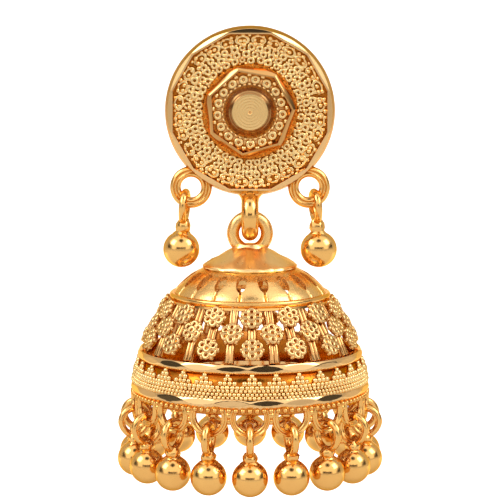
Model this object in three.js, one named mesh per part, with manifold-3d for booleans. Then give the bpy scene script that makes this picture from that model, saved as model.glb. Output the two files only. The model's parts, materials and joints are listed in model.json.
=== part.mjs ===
// A jhumka earring: a round stud with two small side drops, and a hollow bell that hangs from
// the stud's bail and carries a fringe of bead drops. Millimetres, +Z up, the front faces -Y.
// The origin is on the ear post's axis, in the stud's flat back, where the ear lobe sits.
import * as THREE from "three";
import { mergeVertices } from "three/addons/utils/BufferGeometryUtils.js";
import Module from "manifold-3d";

const wasm = await Module();
wasm.setup();

// ---- Driving dimensions ----
const FRONT = -Math.PI / 2; // the angle round Z that faces -Y
const GAP = 0.1; // between a link and the loop that it hangs on

const STUD_RADIUS = 7.75;
const STUD_SEGMENTS = 36;
const HANG_Y = -0.65; // middle of the stud's rim, and the plane that everything hangs in

const POST_RADIUS = 0.45;
const POST_LENGTH = 10.5;
const POST_COLLAR_RADIUS = 0.95;

const SIDE_EYE = { x: 5.41, z: -6.97, holeRadius: 0.92, wireRadius: 0.51 };
const SIDE_LINK = { ringRadius: 1.34, wireRadius: 0.35 };
const SIDE_BALL_RADIUS = 1.68;
const SIDE_LEAN_DEG = 4.6; // the bell's shoulder holds the side drops this far out

const BAIL = { z: -9.62, ringRadius: 1.52, wireRadius: 0.79 };
const BELL_EYE = { ringRadius: 1.56, wireRadius: 0.57 };

const BELL_SEGMENTS = 30; // also the number of openings in the pierced band
const WINDOW = { width: 1.05, top: -17.7, bottom: -21.3 };

const DROP_COUNT = 18;
const EYELET = { holeRadius: 1.0, outerRadius: 1.63, thickness: 0.54, ringRadius: 10.75, z: -26.66 };
const RIM_LINK = { ringRadius: 1.27, wireRadius: 0.33 };
const RIM_BALL_RADIUS = 1.62;
const RIM_NECK_LENGTH = 0.2; // metal that shows between a link and its ball
const SIDE_NECK_LENGTH = 0.6;

// ---- Materials ----
const gold = (color, roughness) =>
  new THREE.MeshStandardMaterial({ color, roughness, metalness: 1 });
const STUD_GOLD = gold(0xe8b45a, 0.3);
const BELL_GOLD = gold(0xe6ac4e, 0.32);
const DROP_GOLD = gold(0xeeb650, 0.16);

// ---- Shape helpers ----
// A closed geometry as a solid. Triangles that have shrunk to a line at a pole are dropped.
function solid(geometry) {
  const bare = geometry.index ? geometry.toNonIndexed() : geometry;
  for (const name of ["normal", "uv"]) bare.deleteAttribute(name);
  const merged = mergeVertices(bare, 1e-4);
  const triangles = [];
  for (let i = 0; i < merged.index.count; i += 3) {
    const [a, b, c] = merged.index.array.slice(i, i + 3);
    if (a !== b && b !== c && c !== a) triangles.push(a, b, c);
  }
  return new wasm.Manifold(
    new wasm.Mesh({
      numProp: 3,
      vertProperties: merged.attributes.position.array,
      triVerts: new Uint32Array(triangles),
    }),
  );
}

function meshOf(shape, name, material) {
  const made = shape.getMesh();
  const geometry = new THREE.BufferGeometry();
  geometry.setAttribute("position", new THREE.BufferAttribute(made.vertProperties, 3));
  geometry.setIndex(new THREE.BufferAttribute(made.triVerts, 1));
  geometry.computeVertexNormals();
  const mesh = new THREE.Mesh(geometry, material);
  mesh.name = name;
  return mesh;
}

const join = (shapes) => shapes.reduce((all, one) => all.add(one));

// A profile of [radius, height] turned round the Y axis.
function turned(profile, segments) {
  return new THREE.LatheGeometry(
    profile.map(([radius, height]) => new THREE.Vector2(radius, height)),
    segments,
  );
}

// The same, round the Z axis, with a corner of the polygon turned by `phase` radians.
const turnedUpright = (profile, segments, phase = 0) =>
  turned(profile, segments).rotateY(phase).rotateX(Math.PI / 2);

// A wire ring round the origin. `axis` is the direction that its hole runs in.
function wireRing({ ringRadius, wireRadius }, axis, around = 12, section = 6) {
  const ring = new THREE.TorusGeometry(ringRadius, wireRadius, section, around);
  if (axis === "x") ring.rotateY(Math.PI / 2);
  if (axis === "y") ring.rotateX(Math.PI / 2);
  return ring;
}

// An upright round bar between two heights, with its own radius at each.
function bar(topZ, topRadius, bottomZ, bottomRadius, sides = 10) {
  return new THREE.CylinderGeometry(topRadius, bottomRadius, topZ - bottomZ, sides)
    .rotateX(Math.PI / 2)
    .translate(0, 0, (topZ + bottomZ) / 2);
}

// ---- Stud: disc, post, side eyes and bail, soldered into one ----
// Sections of the disc and the post as [radius, y], from the boss at the front to the post's tip.
const STUD_PROFILE = [
  [0, -2.6], // boss: flat top, turned bevel
  [1.65, -2.6],
  [2.33, -1.95],
  [2.36, -1.25], // well round the boss
  [3.45, -1.25],
  [3.6, -1.95], // collar
  [3.9, -2.3],
  [4.35, -1.5],
  [6.95, -0.95], // granulated field
  [7.1, -1.15], // rim
  [7.45, -1.45],
  [STUD_RADIUS, -1.05],
  [STUD_RADIUS, 0],
  [POST_COLLAR_RADIUS, 0], // flat back, then the post
  [POST_COLLAR_RADIUS, 0.3],
  [POST_RADIUS, 0.55],
  [POST_RADIUS, POST_LENGTH - 2.1],
  [POST_RADIUS - 0.1, POST_LENGTH - 1.9], // notch that a clutch clicks on
  [POST_RADIUS, POST_LENGTH - 1.7],
  [POST_RADIUS, POST_LENGTH - 0.35],
  [0, POST_LENGTH],
];

function sideEye(side) {
  const ring = { ringRadius: SIDE_EYE.holeRadius + SIDE_EYE.wireRadius, wireRadius: SIDE_EYE.wireRadius };
  return wireRing(ring, "y", 14, 6).translate(side * SIDE_EYE.x, HANG_Y, SIDE_EYE.z);
}

function stud() {
  const bail = wireRing(BAIL, "x", 16, 8).translate(0, HANG_Y, BAIL.z);
  const lug = bar(-7.0, 1.15, -8.35, BAIL.wireRadius).scale(1, 0.55, 1).translate(0, HANG_Y, 0);
  const disc = turned(STUD_PROFILE, STUD_SEGMENTS);
  return join([disc, sideEye(-1), sideEye(1), bail, lug].map(solid));
}

// ---- Bell: eye, cap, pierced dome and skirt of eyelets, soldered into one ----
// Outer wall from the neck to the lower band, then the inner wall back up, as [radius, z].
const BELL_PROFILE = [
  [0, -12.45],
  [1.6, -12.6], // neck and cap
  [4.0, -13.8],
  [4.0, -14.1],
  [4.75, -14.3], // fluted shoulder
  [7.4, -16.25],
  [7.8, -16.9],
  [8.4, -17.5], // pierced dome
  [9.2, -18.7],
  [9.75, -20.1],
  [10.05, -21.6],
  [10.3, -21.75], // upper polished band
  [10.35, -22.7],
  [10.85, -23.6], // granulated band
  [11.0, -24.6],
  [11.1, -25.5], // lower polished band
  [10.2, -25.5],
  [9.95, -23.6],
  [9.15, -21.4],
  [8.7, -19.8],
  [7.8, -18.2],
  [6.6, -16.9],
  [4.6, -15.4],
  [2.4, -14.5],
  [0, -14.3],
];

// One opening of the pierced band: an upright slot cut outwards from inside the wall.
function window(angle) {
  const reach = { from: 7.0, to: 11.0 };
  const height = WINDOW.top - WINDOW.bottom;
  return new THREE.BoxGeometry(reach.to - reach.from, WINDOW.width, height)
    .translate((reach.from + reach.to) / 2, 0, (WINDOW.top + WINDOW.bottom) / 2)
    .rotateZ(angle);
}

// A short round plug whose axis points away from the bell's axis, for an eyelet or its hole.
function radialPlug(radius, thickness, angle, sides) {
  return new THREE.CylinderGeometry(radius, radius, thickness, sides)
    .rotateZ(Math.PI / 2)
    .translate(EYELET.ringRadius, 0, EYELET.z)
    .rotateZ(angle);
}

const dropAngle = (index) => FRONT + (index * 2 * Math.PI) / DROP_COUNT;

function skirt() {
  const inner = EYELET.ringRadius - EYELET.thickness / 2;
  const outer = EYELET.ringRadius + EYELET.thickness / 2;
  const [top, bottom] = [-25.3, -26.95];
  const hoop = turnedUpright(
    [[inner, top], [inner, bottom], [outer, bottom], [outer, top], [inner, top]],
    2 * DROP_COUNT,
    Math.PI / 2,
  );
  const angles = Array.from({ length: DROP_COUNT }, (_, i) => dropAngle(i));
  const eyelets = angles.map((a) => radialPlug(EYELET.outerRadius, EYELET.thickness, a, 12));
  const holes = angles.map((a) => radialPlug(EYELET.holeRadius, 4 * EYELET.thickness, a, 12));
  return join([hoop, ...eyelets].map(solid)).subtract(join(holes.map(solid)));
}

// The bell hangs by its eye: the hole's top stands GAP above the bail's lower wire.
const bailFloorZ = BAIL.z - BAIL.ringRadius + BAIL.wireRadius;
const bellEyeZ = bailFloorZ + GAP - (BELL_EYE.ringRadius - BELL_EYE.wireRadius);

function bell() {
  const step = (2 * Math.PI) / BELL_SEGMENTS;
  const wall = solid(turnedUpright(BELL_PROFILE.toReversed(), BELL_SEGMENTS));
  const windows = Array.from({ length: BELL_SEGMENTS }, (_, i) => solid(window(FRONT + (i + 0.5) * step)));
  const eye = solid(wireRing(BELL_EYE, "y", 16, 8).translate(0, 0, bellEyeZ));
  return join([wall.subtract(join(windows)), eye, skirt()]).translate(0, HANG_Y, 0);
}

// ---- Drops: a link soldered to a bead, hanging through a loop of the stud or the bell ----
// The link's hole runs along Y. The loop's strand has its top at `loopZ` and reaches
// `loopHalfThickness` to each side, and the link's inner edge stays GAP above its corners.
function drop({ loopZ, loopHalfThickness, link, neckLength, ballRadius }) {
  const inner = link.ringRadius - link.wireRadius;
  const linkZ = loopZ + GAP - Math.sqrt(inner ** 2 - loopHalfThickness ** 2);
  const linkBottom = linkZ - link.ringRadius - link.wireRadius;
  const ballZ = linkBottom - neckLength - ballRadius;
  const neckRadius = 1.7 * link.wireRadius;
  const ring = wireRing(link, "y", 12, 4).translate(0, 0, linkZ);
  const neck = bar(linkBottom + link.wireRadius, neckRadius, ballZ + 0.8 * ballRadius, neckRadius, 6);
  const ball = new THREE.SphereGeometry(ballRadius, 10, 6).rotateX(Math.PI / 2).translate(0, 0, ballZ);
  return join([ring, neck, ball].map(solid));
}

function rimDrop(index) {
  const made = drop({
    loopZ: EYELET.z - EYELET.holeRadius,
    loopHalfThickness: EYELET.thickness / 2,
    link: RIM_LINK,
    neckLength: RIM_NECK_LENGTH,
    ballRadius: RIM_BALL_RADIUS,
  });
  const name = `rim_drop_${String(index + 1).padStart(2, "0")}`;
  const mesh = meshOf(made.translate(EYELET.ringRadius, 0, 0), name, DROP_GOLD);
  mesh.position.y = HANG_Y;
  mesh.rotation.z = dropAngle(index);
  return mesh;
}

function sideDrop(side, name) {
  const made = drop({
    loopZ: -SIDE_EYE.holeRadius,
    loopHalfThickness: 0,
    link: SIDE_LINK,
    neckLength: SIDE_NECK_LENGTH,
    ballRadius: SIDE_BALL_RADIUS,
  });
  const mesh = meshOf(made.rotate(0, 0, 90), name, DROP_GOLD);
  mesh.position.set(side * SIDE_EYE.x, HANG_Y, SIDE_EYE.z);
  mesh.rotation.y = -side * THREE.MathUtils.degToRad(SIDE_LEAN_DEG);
  return mesh;
}

// ---- The earring ----
const earring = new THREE.Group();
earring.add(meshOf(stud(), "stud", STUD_GOLD));
earring.add(meshOf(bell(), "bell", BELL_GOLD));
earring.add(sideDrop(-1, "side_drop_left"), sideDrop(1, "side_drop_right"));
for (let i = 0; i < DROP_COUNT; i++) earring.add(rimDrop(i));

export default earring;
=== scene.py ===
"""A gold jhumka earring: a granulated stud, two side drops, and a pierced bell with a fringe of beads.

Shapes are drawn in millimetres and become metres when a piece is finished. Upright pieces are
turned round the Z axis. The stud's pieces are drawn lying flat, face up, and then stood up to
face -Y, which is the earring's front.
"""

import json
import logging
import math
from dataclasses import dataclass
from enum import Enum
from typing import Iterable, Sequence

import bmesh
import bpy
import numpy as np
from mathutils import Matrix, Vector, noise

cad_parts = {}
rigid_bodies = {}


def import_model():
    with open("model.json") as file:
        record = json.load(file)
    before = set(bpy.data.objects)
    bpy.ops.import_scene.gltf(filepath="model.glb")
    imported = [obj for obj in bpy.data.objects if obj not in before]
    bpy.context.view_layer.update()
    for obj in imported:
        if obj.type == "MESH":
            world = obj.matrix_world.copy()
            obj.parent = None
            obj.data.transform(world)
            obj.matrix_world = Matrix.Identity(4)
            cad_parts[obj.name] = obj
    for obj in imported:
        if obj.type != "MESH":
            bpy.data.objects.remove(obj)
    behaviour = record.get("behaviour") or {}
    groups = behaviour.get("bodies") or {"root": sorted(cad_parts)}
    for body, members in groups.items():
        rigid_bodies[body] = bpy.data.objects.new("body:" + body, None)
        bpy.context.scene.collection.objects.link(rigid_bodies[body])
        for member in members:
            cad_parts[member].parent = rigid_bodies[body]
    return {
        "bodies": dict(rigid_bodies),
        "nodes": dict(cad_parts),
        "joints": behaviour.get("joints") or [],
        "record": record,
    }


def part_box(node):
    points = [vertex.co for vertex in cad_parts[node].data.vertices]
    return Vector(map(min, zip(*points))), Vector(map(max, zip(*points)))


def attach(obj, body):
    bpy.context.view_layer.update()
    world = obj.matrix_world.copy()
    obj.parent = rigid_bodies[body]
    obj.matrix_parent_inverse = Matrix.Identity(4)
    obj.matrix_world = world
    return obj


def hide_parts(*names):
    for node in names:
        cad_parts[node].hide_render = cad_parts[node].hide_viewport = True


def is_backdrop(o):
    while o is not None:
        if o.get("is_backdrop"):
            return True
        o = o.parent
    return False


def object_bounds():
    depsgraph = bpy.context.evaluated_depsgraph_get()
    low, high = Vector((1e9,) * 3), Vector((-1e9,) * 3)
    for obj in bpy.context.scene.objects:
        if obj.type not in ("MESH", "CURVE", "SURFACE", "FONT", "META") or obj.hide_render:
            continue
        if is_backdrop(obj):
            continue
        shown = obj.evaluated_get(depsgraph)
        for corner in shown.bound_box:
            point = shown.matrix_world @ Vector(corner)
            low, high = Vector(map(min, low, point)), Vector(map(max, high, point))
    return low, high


log = logging.getLogger("jhumka")

MM = 0.001  # metres
FRONT = -90.0  # the angle round Z that faces -Y, in degrees
FACE_FRONT = Matrix.Rotation(math.radians(90), 4, "X")  # stands a flat-lying piece up
CHANCE_SEED = 22  # fixes the small differences between like pieces

MATHS = "ShaderNodeMath"

Profile = Sequence[tuple[float, float]]  # radius and height of each point, in mm
Places = Sequence[Matrix]


# ---------------------------------------------------------------- finishes


class Surface(Enum):
    """How a gold surface was worked."""

    CAST = "cast and pickled, left matt"
    POLISHED = "buffed bright"
    TURNED = "turned on a lathe, with fine concentric lines"


def linear(colour: str) -> tuple[float, float, float, float]:
    """Turns an sRGB hex colour to a linear one.

    Args:
        colour: six hex digits after a #.

    Returns:
        Red, green, blue and alpha.
    """
    parts = [int(colour[i : i + 2], 16) / 255 for i in (1, 3, 5)]
    red, green, blue = (p / 12.92 if p <= 0.04045 else ((p + 0.055) / 1.055) ** 2.4 for p in parts)
    return red, green, blue, 1.0


def add_node(
    tree: bpy.types.NodeTree,
    kind: str,
    settings: dict[str, object] | None = None,
    links: dict[str | int, object] | None = None,
) -> bpy.types.Node:
    """Adds a node with its settings and links.

    Args:
        tree: the node tree.
        kind: the node's type name.
        settings: its properties.
        links: for each input, the output that feeds it or a plain value.

    Returns:
        The node.
    """
    node = tree.nodes.new(kind)
    for name, value in (settings or {}).items():
        setattr(node, name, value)
    for name, value in (links or {}).items():
        if isinstance(value, bpy.types.NodeSocket):
            tree.links.new(value, node.inputs[name])
        else:
            node.inputs[name].default_value = value
    return node


def fades(
    tree: bpy.types.NodeTree, ways: Sequence[tuple[bpy.types.NodeSocket, float, float, float, float]]
) -> bpy.types.NodeSocket:
    """Multiplies smooth fades.

    Args:
        tree: the node tree.
        ways: for each fade, the value that it follows, where that value starts and ends it, and
            the fade's own value at its start and at its end.

    Returns:
        Their product.
    """
    product = None
    for value, start, end, first, last in ways:
        fade = add_node(
            tree,
            "ShaderNodeMapRange",
            {"interpolation_type": "SMOOTHSTEP"},
            {"Value": value, "From Min": start, "From Max": end, "To Min": first, "To Max": last},
        ).outputs[0]
        if product is not None:
            fade = add_node(tree, MATHS, {"operation": "MULTIPLY"}, {0: product, 1: fade}).outputs[0]
        product = fade
    return product


@dataclass(frozen=True)
class GoldFinish:
    """22-carat gold plate over brass.

    Attributes:
        name: the material's name.
        surface: how it was worked.
        face: the colour of clean, bright gold.
        hollow: the redder, darker gold of painted shade, mixed in where the mesh's hollow attribute is high.
        roughness: its mean roughness.
        grain_mm: the width of the surface's grain.
        relief_mm: how deep the grain is.
        patchiness: by what share the plating's colour drifts from place to place.
    """

    name: str
    surface: Surface
    face: str
    hollow: str
    roughness: float
    grain_mm: float
    relief_mm: float
    patchiness: float = 0.35

    def material(self) -> bpy.types.Material:
        """Makes the material.

        Returns:
            A metal whose colour deepens towards painted shade where the mesh's "hollow" attribute is 1.
        """
        made = bpy.data.materials.new(self.name)
        made.use_nodes = True
        tree = made.node_tree
        shader = tree.nodes["Principled BSDF"]
        shader.inputs["Metallic"].default_value = 1.0
        # Gold stays yellow where it is seen edge on.
        shader.inputs["Specular Tint"].default_value = linear("#F2C88C")
        place = add_node(tree, "ShaderNodeTexCoord").outputs["Object"]
        grain = add_node(
            tree,
            "ShaderNodeTexNoise",
            {},
            {"Vector": place, "Scale": 1 / (self.grain_mm * MM), "Detail": 3.0, "Roughness": 0.6},
        ).outputs["Fac"]
        # Plating is a little uneven over a few millimetres.
        cloud = add_node(
            tree,
            "ShaderNodeTexNoise",
            {},
            {"Vector": place, "Scale": 1 / (2.5 * MM), "Detail": 2.0},
        ).outputs["Fac"]
        # The hollow attribute is painted shade. Below, shade adds it to the plating's random drift, which is
        # the gold's real tone.
        hollow = add_node(tree, "ShaderNodeAttribute", {"attribute_name": "hollow"}).outputs["Fac"]
        shade = add_node(
            tree,
            MATHS,
            {"operation": "MULTIPLY_ADD", "use_clamp": True},
            {0: cloud, 1: self.patchiness, 2: hollow},
        ).outputs[0]
        colour = add_node(
            tree,
            "ShaderNodeMix",
            {"data_type": "RGBA"},
            {"Factor": shade, 6: linear(self.face), 7: linear(self.hollow)},
        ).outputs[2]
        tree.links.new(colour, shader.inputs["Base Color"])
        rough = add_node(
            tree,
            "ShaderNodeMapRange",
            {},
            {"Value": grain, "To Min": 0.75 * self.roughness, "To Max": 1.25 * self.roughness},
        ).outputs[0]
        tree.links.new(rough, shader.inputs["Roughness"])
        height = grain
        if self.surface is Surface.TURNED:
            # Concentric lines round the Y axis, one for each grain width.
            height = add_node(
                tree,
                "ShaderNodeTexWave",
                {"wave_type": "RINGS", "rings_direction": "Y"},
                {"Vector": place, "Scale": math.tau / 20 / (self.grain_mm * MM), "Distortion": 0.0},
            ).outputs["Fac"]
        bump = add_node(
            tree,
            "ShaderNodeBump",
            {},
            {"Height": height, "Strength": 1.0, "Distance": self.relief_mm * MM},
        )
        tree.links.new(bump.outputs[0], shader.inputs["Normal"])
        return made


# Matt cast gold gives the eye a soft, grainy, warm yellow.
CAST_GOLD = GoldFinish("cast_gold_matt", Surface.CAST, "#FDCF86", "#C67528", 0.27, 0.25, 0.014)
# Granules stay bright on top; the deep orange gold between them is painted shade.
GRANULATED_GOLD = GoldFinish("granulated_gold", Surface.CAST, "#FFDE9C", "#B4681E", 0.16, 0.3, 0.014)
# Buffed gold mirrors the room in clear shapes.
BUFFED_GOLD = GoldFinish("buffed_gold", Surface.POLISHED, "#F5C072", "#C88038", 0.16, 0.5, 0.01)
# A diamond tool leaves flats as bright as a mirror.
DIAMOND_CUT_GOLD = GoldFinish("diamond_cut_gold", Surface.POLISHED, "#F2C68A", "#C48A48", 0.08, 0.5, 0.001)
# Cast gold painted paler, as painted light, so the cap and saddle look brighter; it has a soft sheen.
WORN_GOLD = GoldFinish("cast_gold_painted_light_pale", Surface.CAST, "#FFDB9A", "#E09A44", 0.3, 0.3, 0.01)
# Turned gold shows fine rings and a soft sheen; its dark hollow colour is painted shade.
TURNED_GOLD = GoldFinish("turned_gold", Surface.TURNED, "#F8CC88", "#84542C", 0.22, 0.26, 0.006, 0.1)


# ---------------------------------------------------------------- shapes


def spun(profile: Profile, steps: int) -> bmesh.types.BMesh:
    """Turns a profile a full circle round the Z axis.

    Args:
        profile: radius and height of each point, in mm. It closes if its ends are the same.
        steps: how many sides the circle has.

    Returns:
        The shape, with its faces outwards.
    """
    bm = bmesh.new()
    closed = profile[0] == profile[-1]
    verts = [bm.verts.new((radius, 0.0, height)) for radius, height in profile[: -1 if closed else None]]
    edges = [bm.edges.new(pair) for pair in zip(verts, verts[1:])]
    if closed:
        edges.append(bm.edges.new((verts[-1], verts[0])))
    bmesh.ops.spin(
        bm,
        geom=verts + edges,
        axis=(0, 0, 1),
        cent=(0, 0, 0),
        dvec=(0, 0, 0),
        angle=math.tau,
        steps=steps,
        use_merge=True,
        use_duplicate=False,
    )
    bmesh.ops.remove_doubles(bm, verts=bm.verts, dist=1e-4)
    bmesh.ops.recalc_face_normals(bm, faces=bm.faces)
    return bm


def arc(
    centre: tuple[float, float], radius: float, start: float, end: float, count: int
) -> list[tuple[float, float]]:
    """Points on an arc of a profile, with its angles in degrees from the outward direction."""
    angles = [math.radians(start + (end - start) * i / (count - 1)) for i in range(count)]
    return [(centre[0] + radius * math.cos(a), centre[1] + radius * math.sin(a)) for a in angles]


def wire_ring(ring_radius: float, wire_radius: float, around: int, section: int) -> bmesh.types.BMesh:
    """A ring of round wire lying flat, with its hole along Z."""
    wire = arc((ring_radius, 0.0), wire_radius, 0, 360, section + 1)[:-1]
    return spun([*wire, (ring_radius + wire_radius, 0.0)], around)


def grooved_ring(hole: float, outer: float, thickness: float, around: int) -> bmesh.types.BMesh:
    """A flat ring of two parallel wires soldered side by side, with its hole along Z.

    Args:
        hole: radius of the hole.
        outer: outer radius.
        thickness: how thick the wires are.
        around: how many sides the circle has.

    Returns:
        The ring.
    """
    wire = (outer - hole) / 4
    inner_wire = arc((hole + wire, 0.0), wire, 35, 325, 8)
    outer_wire = arc((outer - wire, 0.0), wire, -145, 145, 8)
    bm = spun(inner_wire + outer_wire + inner_wire[:1], around)
    bmesh.ops.scale(bm, vec=(1, 1, thickness / (2 * wire)), verts=bm.verts)
    return bm


def granule(radius: float) -> bmesh.types.BMesh:
    """A tiny gold ball of a few dozen faces, because it is repeated hundreds of times.

    Args:
        radius: its radius.

    Returns:
        The ball.
    """
    bm = bmesh.new()
    bmesh.ops.create_icosphere(bm, subdivisions=2, radius=radius)
    return bm


def ball(radius: float) -> bmesh.types.BMesh:
    """The smooth ball of a hollow bead.

    Args:
        radius: its radius.

    Returns:
        The ball.
    """
    bm = bmesh.new()
    bmesh.ops.create_uvsphere(bm, u_segments=48, v_segments=28, radius=radius)
    return bm


def cut(bm: bmesh.types.BMesh, point: Sequence[float], normal: Sequence[float]) -> None:
    """Cuts away what lies beyond a plane and closes the cut with one flat.

    Args:
        bm: the shape.
        point: a point on the plane.
        normal: the direction that is cut away.
    """
    geometry = bm.verts[:] + bm.edges[:] + bm.faces[:]
    made = bmesh.ops.bisect_plane(
        bm, geom=geometry, dist=1e-5, plane_co=point, plane_no=normal, clear_outer=True
    )
    rim = [item for item in made["geom_cut"] if isinstance(item, bmesh.types.BMEdge)]
    bmesh.ops.holes_fill(bm, edges=rim, sides=0)


def soften(bm: bmesh.types.BMesh, width: float, least_angle: float = 20.0) -> None:
    """Rounds the sharp edges, as polishing does.

    Args:
        bm: the shape.
        width: how far the rounding reaches from an edge.
        least_angle: an edge that turns more than this many degrees is sharp.
    """
    limit = math.radians(least_angle)
    sharp = [e for e in bm.edges if e.is_manifold and e.calc_face_angle() > limit]
    bmesh.ops.bevel(
        bm, geom=sharp, offset=width, segments=2, profile=0.5, affect="EDGES", material=-1, clamp_overlap=True
    )


def roughen(bm: bmesh.types.BMesh, depth: float, width: float, seed: int) -> None:
    """Pushes points in and out like a blob of solder.

    Args:
        bm: the shape.
        depth: the most that a point moves.
        width: the width of a lump.
        seed: which lumps.
    """
    bm.normal_update()
    shift = Vector((seed * 3.7, seed * 1.3, 0))
    for vert in bm.verts:
        vert.co += vert.normal * depth * noise.noise(vert.co / width + shift)


@dataclass(frozen=True)
class FacetedRing:
    """A flat-lying ring whose outer edge is cut by one sloping flat a side.

    Attributes:
        sides: how many flats.
        turn: angle of the middle of the first flat, in degrees.
        outer: outer radius at the foot.
        shoulder: outer radius at the height of the ridge.
        crest: distance from the centre to the ridge, at the middle of a flat.
        inner: distance from the centre to the inner wall, at the middle of a flat.
        base: height of the underside.
        top: height of the ridge.
        slope: angle that the flats fall away at, in degrees.
    """

    sides: int
    turn: float
    outer: float
    shoulder: float
    crest: float
    inner: float
    base: float
    top: float
    slope: float

    def build(self) -> bmesh.types.BMesh:
        """Cuts one side out of a round bar and repeats it round the ring.

        Returns:
            The ring, with slightly rounded edges.
        """
        half = math.pi / self.sides  # half the angle of one side
        tilt = math.radians(self.slope)
        bm = bmesh.new()
        bmesh.ops.create_cone(
            bm,
            cap_ends=True,
            segments=self.sides * 12,
            radius1=self.outer,
            radius2=self.shoulder,
            depth=self.top - self.base,
            matrix=Matrix.Translation((0, 0, (self.top + self.base) / 2)) @ Matrix.Rotation(half, 4, "Z"),
        )
        ends = [Vector((-math.sin(half), sign * math.cos(half), 0)) for sign in (1, -1)]
        for end in ends:
            cut(bm, (0, 0, 0), end)
        cut(bm, (self.crest, 0, self.top), (math.sin(tilt), 0, math.cos(tilt)))
        cut(bm, (self.inner, 0, 0), (-1, 0, 0))
        bm.normal_update()
        bmesh.ops.delete(
            bm, geom=[f for f in bm.faces if any(f.normal.dot(end) > 0.999 for end in ends)], context="FACES"
        )
        first = bm.verts[:] + bm.edges[:] + bm.faces[:]
        for side in range(1, self.sides):
            copy = bmesh.ops.duplicate(bm, geom=first)["geom"]
            turned = [item for item in copy if isinstance(item, bmesh.types.BMVert)]
            spin = Matrix.Rotation(2 * half * side, 3, "Z")
            bmesh.ops.rotate(bm, verts=turned, cent=(0, 0, 0), matrix=spin)
        bmesh.ops.remove_doubles(bm, verts=bm.verts, dist=2e-3)
        bmesh.ops.recalc_face_normals(bm, faces=bm.faces)
        soften(bm, 0.035)
        spin = Matrix.Rotation(math.radians(self.turn), 3, "Z")
        bmesh.ops.rotate(bm, verts=bm.verts, cent=(0, 0, 0), matrix=spin)
        return bm


def ramp(value: float, start: float, end: float) -> float:
    """Rises evenly from 0 where the value is at the start to 1 where it is at the end."""
    return min(1.0, max(0.0, (value - start) / (end - start)))


# ---------------------------------------------------------------- places


def moved(x: float, y: float, z: float) -> Matrix:
    """A place that is only shifted."""
    return Matrix.Translation((x, y, z))


def on_disc(angle: float, radius: float, height: float, spin: float = 0.0, scale: float = 1.0) -> Matrix:
    """A place on a flat-lying disc, with its own X pointing outwards.

    Args:
        angle: degrees round the disc.
        radius: distance from the middle.
        height: height over the disc.
        spin: degrees that the piece is turned by on its spot.
        scale: its size.

    Returns:
        The place.
    """
    out = Matrix.Rotation(math.radians(angle), 4, "Z") @ moved(radius, 0, height)
    return out @ Matrix.Rotation(math.radians(spin), 4, "Z") @ Matrix.Scale(scale, 4)


def on_wall(angle: float, radius: float, height: float, lean: float = 0.0, scale: float = 1.0) -> Matrix:
    """A place on the bell's wall: its own X runs round the bell, Y up the wall, and Z outwards.

    Args:
        angle: degrees round the bell.
        radius: distance from the bell's axis.
        height: height in the row's frame.
        lean: degrees that the wall's outward direction points up by.
        scale: the piece's size.

    Returns:
        The place.
    """
    stand = Matrix(((0, 0, 1, 0), (1, 0, 0, 0), (0, 1, 0, 0), (0, 0, 0, 1)))
    out = Matrix.Rotation(math.radians(angle), 4, "Z") @ moved(radius, 0, height) @ stand
    return out @ Matrix.Rotation(-math.radians(lean), 4, "X") @ Matrix.Scale(scale, 4)


def evenly(count: int, start: float = 0.0) -> list[float]:
    """Angles in degrees, evenly spaced round a full circle."""
    return [start + 360.0 * i / count for i in range(count)]


# ---------------------------------------------------------------- pieces


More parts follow.
